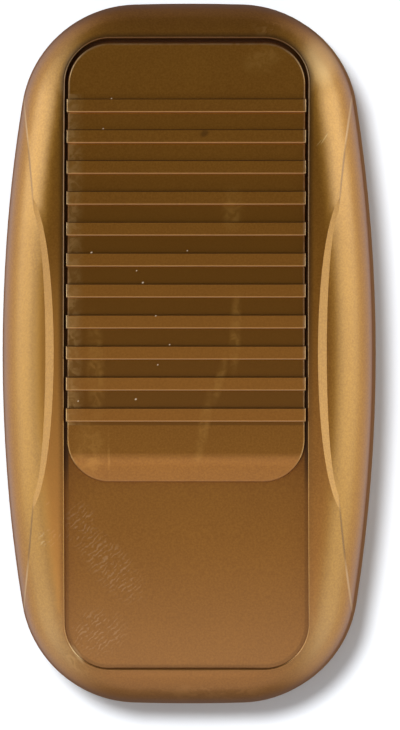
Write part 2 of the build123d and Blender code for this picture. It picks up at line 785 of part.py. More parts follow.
with BuildPart() as fuse_caps:
    for side in (1, -1):
        with BuildSketch(fuse_plane.offset(side * fuse_length / 2)):
            with Locations(fuse_centre):
                Circle(cap_bore + fuse_cap_wall)
        extrude(amount=-side * fuse_cap_length)
        with BuildSketch(fuse_plane.offset(side * (fuse_length / 2 - fuse_cap_wall))):
            with Locations(fuse_centre):
                Circle(cap_bore)
        extrude(amount=-side * fuse_cap_length, mode=Mode.SUBTRACT)

clip_bore = cap_bore + fuse_cap_wall + thread_fit
with BuildPart() as fuse_clips:
    for x, y in fuse_clip_places:
        with BuildSketch(Plane.XZ.offset(-y)):
            with Locations(fuse_centre):
                Circle(clip_bore + clip_sheet)
            with Locations((fuse_centre[0], board_top)):
                Rectangle(clip_bore, fuse_axis_height, align=(Align.CENTER, Align.MIN))
            with Locations(fuse_centre):
                Circle(clip_bore, mode=Mode.SUBTRACT)
            with Locations((fuse_centre[0], fuse_centre[1] + clip_bore)):
                Rectangle(clip_mouth, clip_bore, mode=Mode.SUBTRACT)
        extrude(amount=clip_length / 2, both=True)
    pins(fuse_clip_places)


def terminal_block(end):
    """A two-pole terminal block whose wire entries face the cord inlet at one end."""
    poles = [(side * terminal_pitch / 2, end * terminal_y) for side in (1, -1)]
    screw_top = board_top + terminal_height
    with BuildPart() as block:
        with Locations((0, end * terminal_y, board_top)):
            Box(terminal_width, terminal_length, terminal_height, align=(Align.CENTER, Align.CENTER, Align.MIN))
        chamfer(block.edges().group_by(Axis.Z)[-1].filter_by(Axis.X), terminal_height / 6)
        posts(poles, terminal_screw_seat, screw_top, terminal_screw_head + 2 * hole_play, Mode.SUBTRACT)
        thread_bottom = terminal_screw_seat - terminal_screw_length - hole_play
        posts(poles, thread_bottom, screw_top, terminal_screw_diameter + 2 * thread_fit, Mode.SUBTRACT)
        with BuildSketch(Plane.XZ.offset(-end * (terminal_y + terminal_length / 2))):
            with Locations(*[(x, board_top + terminal_entry_height) for x, y in poles]):
                Circle(terminal_entry_diameter / 2)
        extrude(amount=end * terminal_length / 2, mode=Mode.SUBTRACT)
        pins(poles)
    return block.part


terminal_screw = screw(terminal_screw_head, terminal_screw_head_height, terminal_screw_diameter, terminal_screw_length)


def cord_clamp(end):
    """A bar across two posts, with a tooth under its middle that presses on the cord."""
    with BuildPart() as clamp:
        with BuildSketch(Plane.XY.offset(clamp_seat)):
            with Locations((0, end * clamp_y)):
                RectangleRounded(clamp_width, clamp_length, clamp_length / 3)
            with Locations(*[(side * clamp_spread, end * clamp_y) for side in (1, -1)]):
                Circle(small_screw_diameter / 2 + hole_play, mode=Mode.SUBTRACT)
        extrude(amount=clamp_thickness)
        with BuildSketch(Plane.XY.offset(clamp_seat)):
            with Locations((0, end * clamp_y)):
                Rectangle(cord_bore_diameter, clamp_tooth)
        extrude(amount=-clamp_tooth)
    return clamp.part


case_screw = screw(case_screw_head, case_screw_head_height, case_screw_diameter, case_screw_length)
board_screw = screw(small_screw_head, small_screw_head_height, small_screw_diameter, board_screw_length)
clamp_screw = screw(small_screw_head, small_screw_head_height, small_screw_diameter, clamp_screw_length)

pieces = {
    "top_housing": top_housing.part,
    "base_cover": base_cover.part,
    "rubber_feet": rubber_feet.part,
    "case_screws": screws_up(case_screw, case_screw_places, case_screw_seat),
    "foot_slider": foot_slider.part,
    "slider_keeper": slider_keeper.part,
    "keeper_screws": keeper_screws.part,
    "circuit_board": circuit_board.part,
    "board_screws": screws_down(board_screw, board_screw_places, board_top),
    "control_cover": control_cover.part,
    "control_base": control_base.part,
    "control_lever": control_lever.part,
    "choke_core": choke_core.part,
    "choke_winding": choke_winding.part,
    "heat_sink": heat_sink.part,
    "triac": triac.part,
    "triac_screw": screws_down(tab_screw, [(triac_screw_x, triac_screw_y)], triac_screw_seat),
    "suppression_capacitor": suppression_capacitor.part,
    "timing_capacitors": timing_capacitors.part,
    "resistors": resistors,
    "diac": diac,
    "fuse_glass": fuse_glass.part,
    "fuse_caps": fuse_caps.part,
    "fuse_clips": fuse_clips.part,
    "mains_terminal": terminal_block(1),
    "lamp_terminal": terminal_block(-1),
    "terminal_screws": screws_down(terminal_screw, terminal_pin_places, terminal_screw_seat),
    "mains_cord_clamp": cord_clamp(1),
    "lamp_cord_clamp": cord_clamp(-1),
    "clamp_screws": screws_down(clamp_screw, clamp_screw_places, clamp_seat + clamp_thickness),
}

os.makedirs("parts", exist_ok=True)
for name, piece in pieces.items():
    piece.label = name
    export_step(piece, f"parts/{name}.step")

print("slide turns", round(slide_angle, 3), "degrees about y", track_centre_y, "z", round(track_centre_z, 3))
print("lever at rest y", round(lever_rest_y, 3), "moves", round(lever_grip_radius, 3), "mm per radian")
print("ribs", rib_count, "slide", round(slider_length, 2), "by", round(slider_width, 2))
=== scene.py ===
# %% [markdown]
# A foot dimmer for a floor lamp, seen from straight above.
# The case and the slide are ABS moulded with gold-bronze metallic pigment.
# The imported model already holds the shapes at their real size, so this script dresses it:
# camera and light first, then the gold mouldings, then the metal, rubber and board parts.

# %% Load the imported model
import math
import bmesh
import bpy
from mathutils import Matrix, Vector

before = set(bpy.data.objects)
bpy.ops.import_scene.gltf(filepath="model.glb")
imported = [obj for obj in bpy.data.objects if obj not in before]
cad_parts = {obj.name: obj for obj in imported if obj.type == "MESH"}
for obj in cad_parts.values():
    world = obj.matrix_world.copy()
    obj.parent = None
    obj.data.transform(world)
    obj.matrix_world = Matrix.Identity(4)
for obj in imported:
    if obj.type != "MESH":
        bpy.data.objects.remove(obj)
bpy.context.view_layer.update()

MM = 0.001

# %% [markdown]
# The photograph was taken from above, a little to the right of the middle, so the camera hangs high over the
# case and leans back to it by two degrees. It could hang low with a wide lens, but then the high middle of the case
# would look larger than its foot, so it hangs three metres up with a long one. The frame is 400 by 730 pixels, and
# the case is 699 pixels long, which gives the lens.

# %% Camera
PIXELS_WIDE = 400
PIXELS_HIGH = 730
CASE_MIDDLE_PX = (189.0, 353.5)
MM_PER_PIXEL = 0.1602
CAMERA_HEIGHT = 3.00
CAMERA_LEAN = 0.035
FOCUS_HEIGHT = 0.014
SENSOR_HEIGHT = 24.0
NEAREST = 0.01


def make_camera():
    """A camera over the case whose frame holds the photograph's 400 by 730 pixels."""
    data = bpy.data.cameras.new("camera")
    camera = bpy.data.objects.new("camera", data)
    bpy.context.scene.collection.objects.link(camera)
    x = (PIXELS_WIDE / 2 - CASE_MIDDLE_PX[0]) * MM_PER_PIXEL * MM
    y = (CASE_MIDDLE_PX[1] - PIXELS_HIGH / 2) * MM_PER_PIXEL * MM
    target = Vector((x, y, FOCUS_HEIGHT))
    place = Vector((x + CAMERA_LEAN * (CAMERA_HEIGHT - FOCUS_HEIGHT), y, CAMERA_HEIGHT))
    camera.location = place
    camera.rotation_euler = (0.0, math.atan(CAMERA_LEAN), 0.0)
    frame_height = PIXELS_HIGH * MM_PER_PIXEL * MM
    data.sensor_fit = "VERTICAL"
    data.sensor_height = SENSOR_HEIGHT
    data.lens = SENSOR_HEIGHT * (place - target).length / frame_height
    data.clip_start = NEAREST
    bpy.context.scene.camera = camera
    return camera


camera = make_camera()
print("camera", [round(v, 3) for v in camera.location], "lens", round(camera.data.lens, 1))

# %% [markdown]
# Colours are picked as sRGB hex values, as on a paint card. Blender works in linear light, so one function turns
# them. Another adds a shader node with its settings and links in one line, which keeps the materials short. Its
# inputs are a dictionary by name, or a list in the node's own order: Map Range takes a value, the two ends it
# comes from and the two ends it goes to, and Math takes its terms.

# %% Colour and node helpers
SMOOTH = {"interpolation_type": "SMOOTHSTEP"}
COLOURS = {"data_type": "RGBA"}


def linear(hex_colour, alpha=1.0):
    """An sRGB hex colour as linear red, green, blue and alpha."""
    channels = [int(hex_colour[i : i + 2], 16) / 255 for i in (0, 2, 4)]
    return (*[c / 12.92 if c <= 0.04045 else ((c + 0.055) / 1.055) ** 2.4 for c in channels], alpha)


def fill(tree, socket, value):
    """Gives a socket a number, a hex colour, or a link from another node or its output."""
    if isinstance(value, bpy.types.Node):
        value = next(output for output in value.outputs if output.enabled)
    if isinstance(value, bpy.types.NodeSocket):
        tree.links.new(value, socket)
    elif isinstance(value, str):
        socket.default_value = linear(value)
    else:
        socket.default_value = value


def add_node(tree, kind, inputs=(), **settings):
    """A node of one kind with its settings, its inputs filled."""
    node = tree.nodes.new(kind)
    for name, value in settings.items():
        setattr(node, name, value)
    pairs = inputs.items() if isinstance(inputs, dict) else enumerate(inputs)
    for key, value in pairs:
        fill(tree, node.inputs[key], value)
    return node


def new_material(name):
    """An empty material with a Principled shader, its output and Object coordinates."""
    material = bpy.data.materials.new(name)
    material.use_nodes = True
    tree = material.node_tree
    shader = tree.nodes["Principled BSDF"]
    place = add_node(tree, "ShaderNodeTexCoord").outputs["Object"]
    return material, tree, shader, place


def dress(material, *names):
    """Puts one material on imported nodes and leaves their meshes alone."""
    for name in names:
        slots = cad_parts[name].data.materials
        slots.clear()
        slots.append(material)
    print(material.name, "on", ", ".join(names))


# %% [markdown]
# A metallic moulding shows its light more than its colour. The flat top is dark because a dim ceiling stands in
# it, the near end is lighter, and the flanks shine because tall white walls stand left and right. Area lights could
# stand for them, but each would show its outline in the metal. A world that depends on the direction alone gives
# all three without a single hard edge. Each part of a direction runs from minus one to one: sideways is X without
# its sign, along is Y, and up is Z.

# %% Room light
CEILING_DARK = 0.05
CEILING_LIGHT = 0.90
CEILING_FAR_END = 1.8
NEAR_WALL = 0.60
SIDE_WALL_FAR = 3.22
SIDE_WALL_NEAR = 0.85
SIDE_WALL_FAR_END = 0.55
WALL_FOOT = 0.72
TABLE_DARK = 0.20
TABLE_LIGHT = 1.10


def multiplied(tree, *values):
    """Several masks or numbers, nodes or plain, multiplied."""
    result = values[0]
    for value in values[1:]:
        result = add_node(tree, "ShaderNodeMath", [result, value], operation="MULTIPLY")
    return result


def room_strength(tree, sideways, along, up):
    """A dim ceiling, lighter towards -Y, between bright walls on both sides of a grey table."""
    ceiling = multiplied(
        tree,
        add_node(tree, "ShaderNodeMapRange", [along, 0.10, -0.36, CEILING_DARK, CEILING_LIGHT], **SMOOTH),
        add_node(tree, "ShaderNodeMapRange", [along, 0.26, 0.45, 1.0, CEILING_FAR_END], **SMOOTH),
        add_node(tree, "ShaderNodeMapRange", [along, -0.45, -0.85, 1.0, NEAR_WALL], **SMOOTH),
    )
    side_walls = multiplied(
        tree,
        add_node(tree, "ShaderNodeMapRange", [sideways, 0.45, 0.80, 0.0, 1.0], **SMOOTH),
        add_node(tree, "ShaderNodeMapRange", [along, 0.22, -0.22, SIDE_WALL_FAR, SIDE_WALL_NEAR], **SMOOTH),
        add_node(tree, "ShaderNodeMapRange", [along, 0.32, 0.62, 1.0, SIDE_WALL_FAR_END], **SMOOTH),
        add_node(tree, "ShaderNodeMapRange", [up, -0.10, 0.22, WALL_FOOT, 1.0], **SMOOTH),
    )
    above = add_node(tree, "ShaderNodeMath", [ceiling, side_walls], operation="ADD")
    table = add_node(tree, "ShaderNodeMapRange", [sideways, 0.2, 0.8, TABLE_DARK, TABLE_LIGHT], **SMOOTH)
    horizon = add_node(tree, "ShaderNodeMapRange", [up, -0.25, 0.10, 0.0, 1.0], **SMOOTH)
    return add_node(tree, "ShaderNodeMix", {"Factor": horizon, "A": table, "B": above})


print("ceiling", CEILING_DARK, "to", CEILING_LIGHT, "side walls", SIDE_WALL_NEAR, "to", SIDE_WALL_FAR)

# %% [markdown]
# The ceiling is a warm white and the walls are a cool one, so the flanks look less orange than the top. The room
# could light the floor too, but its uneven walls would tint and stripe it. So the room is only for mirror images:
# the floor takes its light from the suns, and stays white and even.

# %% Room
CEILING_COLOUR = "FFF6EE"
WALL_COLOUR = "DCF6FF"
TABLE_WALL_SHARE = 0.55


def make_room():
    """The world: its strength and colour by direction, kept out of diffuse light."""
    world = bpy.data.worlds.new("studio")
    world.use_nodes = True
    tree = world.node_tree
    direction = add_node(tree, "ShaderNodeTexCoord").outputs["Generated"]
    axes = add_node(tree, "ShaderNodeSeparateXYZ", [direction])
    along, up = axes.outputs["Y"], axes.outputs["Z"]
    sideways = add_node(tree, "ShaderNodeMath", [axes.outputs["X"]], operation="ABSOLUTE")
    wall_share = multiplied(
        tree,
        add_node(tree, "ShaderNodeMapRange", [sideways, 0.35, 0.65, 0.0, 1.0], **SMOOTH),
        add_node(tree, "ShaderNodeMapRange", [up, -0.25, 0.10, TABLE_WALL_SHARE, 1.0], **SMOOTH),
    )
    ends = {"A": CEILING_COLOUR, "B": WALL_COLOUR}
    colour = add_node(tree, "ShaderNodeMix", {"Factor": wall_share, **ends}, **COLOURS)
    background = tree.nodes["Background"]
    fill(tree, background.inputs["Color"], colour)
    fill(tree, background.inputs["Strength"], room_strength(tree, sideways, along, up))
    world.cycles_visibility.diffuse = False
    bpy.context.scene.world = world
    bpy.context.scene.view_settings.view_transform = "Standard"
    return world


room = make_room()
print(room.name, "nodes", len(room.node_tree.nodes))

# %% [markdown]
# Two suns light the floor. The key sun has a wide disc and stands a little to the upper left, so it lays a soft
# shadow to the lower right. The fill sun is nearly as wide as the sky, and lifts that shadow to a middle grey.
# Both are kept out of mirror images, where a disc would show as a hard spot.

# %% Suns
SUN_STRENGTH = 2.6
SUN_LEAN = (math.radians(9.5), math.radians(6.5))
SUN_DISC = math.radians(9)
FILL_STRENGTH = 1.42
FILL_LEAN = (0.0, 0.0)
FILL_DISC = math.radians(140)


def make_sun(name, strength, disc, lean):
    """A wide sun, almost upright, that draws shadows and stays out of mirror images."""
    data = bpy.data.lights.new(name, "SUN")
    data.energy = strength
    data.angle = disc
    sun = bpy.data.objects.new(name, data)
    sun.rotation_euler = (-lean[0], -lean[1], 0.0)
    sun.visible_glossy = False
    bpy.context.scene.collection.objects.link(sun)
    print(name, strength, "disc", round(math.degrees(disc)), "degrees")


make_sun("key_sun", SUN_STRENGTH, SUN_DISC, SUN_LEAN)
make_sun("fill_sun", FILL_STRENGTH, FILL_DISC, FILL_LEAN)

# %% [markdown]
# The floor is a white table top, matt, with the faintest grain. A single square is enough, and large enough that
# no edge comes into view. It stays out of mirror images too, because the room's own table is already there.

# %% Floor
FLOOR_SIZE = 3.0
FLOOR_GRAIN = 16.667 * MM


def make_floor():
    """A plain white table top."""
    shape = bmesh.new()
    bmesh.ops.create_grid(shape, x_segments=1, y_segments=1, size=FLOOR_SIZE / 2)
    mesh = bpy.data.meshes.new("floor")
    shape.to_mesh(mesh)
    shape.free()
    floor = bpy.data.objects.new("floor", mesh)
    bpy.context.scene.collection.objects.link(floor)
    material, tree, shader, place = new_material("white_table")
    grain = add_node(tree, "ShaderNodeTexNoise", {"Vector": place, "Scale": 1 / FLOOR_GRAIN, "Detail": 2.0})
    white = add_node(tree, "ShaderNodeMix", {"Factor": grain, "A": "EEF3FA", "B": "F2F7FD"}, **COLOURS)
    fill(tree, shader.inputs["Base Color"], white)
    shader.inputs["Roughness"].default_value = 0.8
    mesh.materials.append(material)
    floor.visible_glossy = False
    return floor


floor = make_floor()
print(floor.name, FLOOR_SIZE, "m across")

# %% [markdown]
# Gold-bronze ABS is clear plastic full of metal flakes. It could be one flat colour, but the eye knows the moulding
# by its fine sparkle, so noise draws flakes. Real flakes are under a tenth of a millimetre, too fine to show, so the
# grain is drawn at 0.3 mm. Slow clouds of pigment, 14 mm across, lie over it, as they do where the melt ran together.

# %% Gold pigment
FLAKE = 0.3 * MM
CLOUD = 14 * MM
EVEN = 0.5


def gold_colour(tree, place):
    """The flake grain over slow clouds of pigment."""
    flake = add_node(tree, "ShaderNodeTexNoise", {"Vector": place, "Scale": 1 / FLAKE, "Detail": 1.0})
    cloud = add_node(tree, "ShaderNodeTexNoise", {"Vector": place, "Scale": 1 / CLOUD, "Detail": 2.0})
    grain = add_node(tree, "ShaderNodeMapRange", [flake, 0.3, 0.7, 0.0, 1.0])
    fine = add_node(tree, "ShaderNodeMix", {"Factor": grain, "A": "9E6318", "B": "BE7F2C"}, **COLOURS)
    clouds = add_node(tree, "ShaderNodeMix", {"Factor": cloud, "A": "A0641A", "B": "BA7A24"}, **COLOURS)
    return add_node(tree, "ShaderNodeMix", {"Factor": EVEN, "A": fine, "B": clouds}, **COLOURS)


print("flakes", FLAKE / MM, "mm, clouds", CLOUD / MM, "mm")

# %% [markdown]
# The flakes are metal and the plastic over them is a thin white gloss that turns the outline pale. So the base
# is metallic and the gloss is a coat. The mould's satin grain shades itself when it is seen almost edge on, so
# the coat fades there, and the metal's own edge tint stays gold instead of turning white.

# %% Gold finish
GOLD_METAL = 0.95
GOLD_ROUGHNESS = 0.38
GOLD_EDGE = "B08A4A"
COAT_ROUGHNESS = 0.22
COAT_IOR = 1.5
COAT_AT_EDGE = 0.20


def finish_gold(tree, shader):
    """Metal flakes under clear plastic."""
    slant = add_node(tree, "ShaderNodeLayerWeight", {"Blend": 0.5}).outputs["Facing"]
    coat = add_node(tree, "ShaderNodeMapRange", [slant, 0.70, 0.90, 1.0, COAT_AT_EDGE], **SMOOTH)
    fill(tree, shader.inputs["Coat Weight"], coat)
    fill(tree, shader.inputs["Specular Tint"], GOLD_EDGE)
    fill(tree, shader.inputs["Metallic"], GOLD_METAL)
    fill(tree, shader.inputs["Roughness"], GOLD_ROUGHNESS)
    fill(tree, shader.inputs["Coat Roughness"], COAT_ROUGHNESS)
    fill(tree, shader.inputs["Coat IOR"], COAT_IOR)


def gold_abs_plain():
    """The lower shell's moulding, without marks."""
    material, tree, shader, place = new_material("gold_abs_moulded_plain")
    fill(tree, shader.inputs["Base Color"], gold_colour(tree, place))
    finish_gold(tree, shader)
    return material


dress(gold_abs_plain(), "base_cover")

# %% [markdown]
# Marks are ellipses on the surface: a Mapping node moves, turns and stretches the coordinates so that a spherical
# gradient fades from one in the middle to nothing at the rim. Several marks of one kind are joined by their
# maximum, so that they never add up to more than one mark. A mark is its middle and its half sizes in
# millimetres from the middle of the case, and its turn in degrees.

# %% Mark helpers


def spot(tree, place, middle, size, turn=0.0):
    """One at the middle of an ellipse, fading to nothing at its rim."""
    inputs = {
        "Vector": place,
        "Location": (middle[0] * MM, middle[1] * MM, 0.0),
        "Rotation": (0.0, 0.0, math.radians(turn)),
        "Scale": (size[0] * MM, size[1] * MM, 1.0),
    }
    local = add_node(tree, "ShaderNodeMapping", inputs, vector_type="TEXTURE")
    return add_node(tree, "ShaderNodeTexGradient", {"Vector": local}, gradient_type="SPHERICAL").outputs["Fac"]


def strongest(tree, place, marks):
    """The strongest of several marks at each place."""
    result = spot(tree, place, *marks[0])
    for mark in marks[1:]:
        result = add_node(tree, "ShaderNodeMath", [result, spot(tree, place, *mark)], operation="MAXIMUM")
    return result


def spots(tree, place, marks, full, most=1.0):
    """Marks with soft rims, which reach their most where the gradient passes full."""
    return add_node(tree, "ShaderNodeMapRange", [strongest(tree, place, marks), 0.0, full, 0.0, most], **SMOOTH)


print("a mark of 10 by 4 mm is", ((0.0, 0.0), (5.0, 2.0), 0.0))

# %% [markdown]
# The upper shell has paler swirls on both end rims, where the melt met, and a frosty field at the lower left of
# the recess floor, with a few frosty dots on the land beside it. The frost is a bed of fine ripples. They could be
# relief, but from above they only show as paler strokes, so a wave draws them in the colour, bent by noise and
# broken into patches. Real ripples are finer than a pixel, so they are drawn 0.66 mm apart. A wave's Scale of 0.314
# gives it a period of one unit.

# %% Swirls and frost
SWIRL = 2.5 * MM
SWIRLS = [
    ((13.2, 52.2), (3.6, 2.2), 25.0), ((4.0, -54.2), (16.0, 1.6), 0.0),
    ((12.6, 48.0), (5.0, 3.0), 0.0), ((-17.6, -49.2), (3.6, 2.0), -45.0),
]
WAVE_UNIT = 0.314
RIPPLE = 0.66 * MM
RIPPLE_TURN = math.radians(-42)
RIPPLE_PATCH = 0.9 * MM
FROST_FIELD = [
    ((-12.2, -33.8), (9.4, 3.9), -50.0), ((-14.2, -44.4), (5.6, 4.6), 0.0), ((-17.0, -27.5), (3.2, 4.5), 0.0),
]
FROST_DOTS = [((-21.8, -29.4), (2.4, 1.7), 10.0), ((-22.0, -24.0), (0.5, 0.5), 0.0)]


def paler_swirls(tree, place, colour):
    """Curled bands where the melt met."""
    inputs = {"Vector": place, "Scale": 1 / SWIRL, "Detail": 3.0, "Distortion": 1.6}
    noise = add_node(tree, "ShaderNodeTexNoise", inputs)
    bands = add_node(tree, "ShaderNodeMapRange", [noise, 0.45, 0.65, 0.0, 1.0], **SMOOTH)
    factor = multiplied(tree, strongest(tree, place, SWIRLS), bands, 0.8)
    return add_node(tree, "ShaderNodeMix", {"Factor": factor, "A": colour, "B": "D2944A"}, **COLOURS)


def frost_ripples(tree, place, colour):
    """A frosty field of short wavy strokes."""
    turned = add_node(tree, "ShaderNodeMapping", {"Vector": place, "Rotation": (0.0, 0.0, RIPPLE_TURN)})
    inputs = {"Vector": turned, "Scale": WAVE_UNIT / RIPPLE, "Distortion": 6.5, "Detail": 2.0, "Detail Scale": 1.6}
    wave = add_node(tree, "ShaderNodeTexWave", inputs, wave_type="BANDS", bands_direction="Y")
    strokes = add_node(tree, "ShaderNodeMapRange", [wave.outputs["Fac"], 0.45, 1.0, 0.0, 1.0], **SMOOTH)
    patch = add_node(tree, "ShaderNodeTexNoise", {"Vector": place, "Scale": 1 / RIPPLE_PATCH, "Detail": 2.0})
    patches = add_node(tree, "ShaderNodeMapRange", [patch, 0.38, 0.60, 0.0, 1.0], **SMOOTH)
    both = [spots(tree, place, FROST_FIELD, 0.6), spots(tree, place, FROST_DOTS, 0.5)]
    frosty = add_node(tree, "ShaderNodeMath", both, operation="MAXIMUM")
    factor = multiplied(tree, frosty, strokes, patches, 0.50)
    return add_node(tree, "ShaderNodeMix", {"Factor": factor, "A": colour, "B": "D6A876"}, **COLOURS)


print("swirls", len(SWIRLS), "frost patches", len(FROST_FIELD) + len(FROST_DOTS))

# %% [markdown]
# A corner of the recess rim carries a painted highlight on its edge, and two light scratches lie at the upper right.
# The scratches could be cut into the shape, but they are only a pixel or two wide, so their pale colour is enough.

# %% Scratches and a painted highlight on the upper shell
RECESS_CORNER_HIGHLIGHT = [((-17.6, -47.9), (2.4, 0.5), -55.0)]
SCRATCHES = [((22.0, 34.2), (1.3, 0.12), 58.0), ((21.2, 33.6), (0.9, 0.1), 50.0)]


def scratches_and_corner_highlight(tree, place, colour):
    """The painted highlight on the recess corner, and the scratches."""
    # Painted highlight on the edge of the recess corner.
    corner_edge_highlight = spots(tree, place, RECESS_CORNER_HIGHLIGHT, 0.6, 0.6)
    scratched = spots(tree, place, SCRATCHES, 0.5, 0.5)
    colour = add_node(tree, "ShaderNodeMix", {"Factor": corner_edge_highlight, "A": colour, "B": "E8BC80"}, **COLOURS)
    return add_node(tree, "ShaderNodeMix", {"Factor": scratched, "A": colour, "B": "E0B070"}, **COLOURS)


print("scratches", len(SCRATCHES))

# %% [markdown]
# The near end, the land on the left and the upper right corner are painted paler than the rest: painted highlights
# where the light falls brightest. Each is a slow fade. The one on the land asks the surface's own direction too, so
# that it stays on the level top and leaves the walls beside it dark.

# %% Painted highlights
CORNER_HIGHLIGHT_SPOT = [((21.4, 47.0), (4.0, 5.5), 0.0)]


def painted_highlights(tree, place, colour):
    """Painted highlights over the near end, the level top of the left land and the upper right corner."""
    axes = add_node(tree, "ShaderNodeSeparateXYZ", {"Vector": place})
    sideways = add_node(tree, "ShaderNodeMath", [axes.outputs["X"]], operation="ABSOLUTE")
    # Painted highlight over the near end.
    near_end_highlight = multiplied(
        tree,
        add_node(tree, "ShaderNodeMapRange", [axes.outputs["Y"], -28 * MM, -52 * MM, 0.0, 0.23], **SMOOTH),
        add_node(tree, "ShaderNodeMapRange", [sideways, 20 * MM, 26 * MM, 1.0, 0.0], **SMOOTH),
    )
    colour = add_node(tree, "ShaderNodeMix", {"Factor": near_end_highlight, "A": colour, "B": "D6A070"}, **COLOURS)
    normal = add_node(tree, "ShaderNodeSeparateXYZ", [add_node(tree, "ShaderNodeTexCoord").outputs["Normal"]])
    # Painted highlight on the level top of the left land.
    left_land_highlight = multiplied(
        tree,
        add_node(tree, "ShaderNodeMapRange", [axes.outputs["X"], -19.6 * MM, -20.6 * MM, 0.0, 0.55], **SMOOTH),
        add_node(tree, "ShaderNodeMapRange", [axes.outputs["Y"], 20 * MM, 4 * MM, 0.0, 1.0], **SMOOTH),
        add_node(tree, "ShaderNodeMapRange", [normal.outputs["Z"], 0.93, 0.98, 0.0, 1.0], **SMOOTH),
    )
    colour = add_node(tree, "ShaderNodeMix", {"Factor": left_land_highlight, "A": colour, "B": "E09A44"}, **COLOURS)
    # Painted highlight at the upper right corner.
    corner = spots(tree, place, CORNER_HIGHLIGHT_SPOT, 0.7, 0.45)
    return add_node(tree, "ShaderNodeMix", {"Factor": corner, "A": colour, "B": "E6AE70"}, **COLOURS)


print("bright corner", CORNER_HIGHLIGHT_SPOT[0][0], "mm from the middle")

# %% [markdown]
# Each belly meets the core of the case in a small step, whose line is an arc of 300 mm in the plan. Its line is
# painted dark as the step's shade where it leaves the waist, and pale as a painted highlight on the edge towards the
# corners. A row of marks could follow it, but the distance from the arc draws the whole line at once, and the
# absolute value of X mirrors it.

# %% Painted shade and highlight in the step
STEP_RADIUS = 300.0
STEP_CENTRE_X = 323.5
STEP_LINE = (0.05 * MM, 0.22 * MM)


def step_shade_and_highlight(tree, place, colour):
    """The painted shade and the painted highlight on the line where a belly meets the core."""
    axes = add_node(tree, "ShaderNodeSeparateXYZ", {"Vector": place})
    sideways = add_node(tree, "ShaderNodeMath", [axes.outputs["X"]], operation="ABSOLUTE")
    along = add_node(tree, "ShaderNodeMath", [axes.outputs["Y"]], operation="ABSOLUTE")
    from_centre = add_node(tree, "ShaderNodeMath", [STEP_CENTRE_X * MM, sideways], operation="SUBTRACT")
    legs = (from_centre, axes.outputs["Y"])
    squares = [add_node(tree, "ShaderNodeMath", [leg, 2.0], operation="POWER") for leg in legs]
    reach = add_node(
        tree, "ShaderNodeMath", [add_node(tree, "ShaderNodeMath", squares, operation="ADD")], operation="SQRT"
    )
    off_step = add_node(tree, "ShaderNodeMath", [reach, STEP_RADIUS * MM], operation="SUBTRACT")
    off_step = add_node(tree, "ShaderNodeMath", [off_step], operation="ABSOLUTE")
    line = add_node(tree, "ShaderNodeMapRange", [off_step, *STEP_LINE, 1.0, 0.0], **SMOOTH)
    # Painted shade of the step where it leaves the waist.
    painted_step_shade = multiplied(
        tree, line,
        add_node(tree, "ShaderNodeMapRange", [along, 22 * MM, 27 * MM, 0.0, 1.0], **SMOOTH),
        add_node(tree, "ShaderNodeMapRange", [along, 31 * MM, 35 * MM, 1.0, 0.0], **SMOOTH),
        0.60,
    )
    # Painted highlight on the step's edge towards the corners.
    painted_step_highlight = multiplied(
        tree, line,
        add_node(tree, "ShaderNodeMapRange", [along, 32 * MM, 36 * MM, 0.0, 1.0], **SMOOTH),
        add_node(tree, "ShaderNodeMapRange", [axes.outputs["Z"], 15 * MM, 20 * MM, 0.0, 1.0], **SMOOTH),
        0.45,
    )
    colour = add_node(tree, "ShaderNodeMix", {"Factor": painted_step_shade, "A": colour, "B": "6A4018"}, **COLOURS)
    return add_node(tree, "ShaderNodeMix", {"Factor": painted_step_highlight, "A": colour, "B": "E4B890"}, **COLOURS)


print("step line", [round(v / MM, 2) for v in STEP_LINE], "mm")

# %% [markdown]
# Shade is painted round the recess: on its rim, most at the far end, and in the narrow gap beside the slide. Both
# follow a rounded rectangle, so one function measures how far a place lies outside it: the coordinates are folded
# into one corner, what lies beyond the corner's centre is measured, and the corner's radius is taken off.

# %% Painted shade round the recess
RECESS = ((0.0, 0.0), (19.45, 50.3), 7.2)
# The brown of the painted shade.
PAINTED_SHADE_BROWN = "42260A"


def outside_plan(tree, place, middle, half_size, corner):
    """The distance in metres outside a rounded rectangle in the plan, less than nothing near its inside."""
    flat = add_node(tree, "ShaderNodeVectorMath", [place, (1.0, 1.0, 0.0)], operation="MULTIPLY")
    centre = (middle[0] * MM, middle[1] * MM, 0.0)
    moved = add_node(tree, "ShaderNodeVectorMath", [flat, centre], operation="SUBTRACT")
    folded = add_node(tree, "ShaderNodeVectorMath", [moved], operation="ABSOLUTE")
    core = ((half_size[0] - corner) * MM, (half_size[1] - corner) * MM, 0.0)
    beyond = add_node(tree, "ShaderNodeVectorMath", [folded, core], operation="SUBTRACT")
    outer = add_node(tree, "ShaderNodeVectorMath", [beyond, (0.0, 0.0, 0.0)], operation="MAXIMUM")
    reach = add_node(tree, "ShaderNodeVectorMath", [outer], operation="LENGTH")
    return add_node(tree, "ShaderNodeMath", [reach, corner * MM], operation="SUBTRACT")


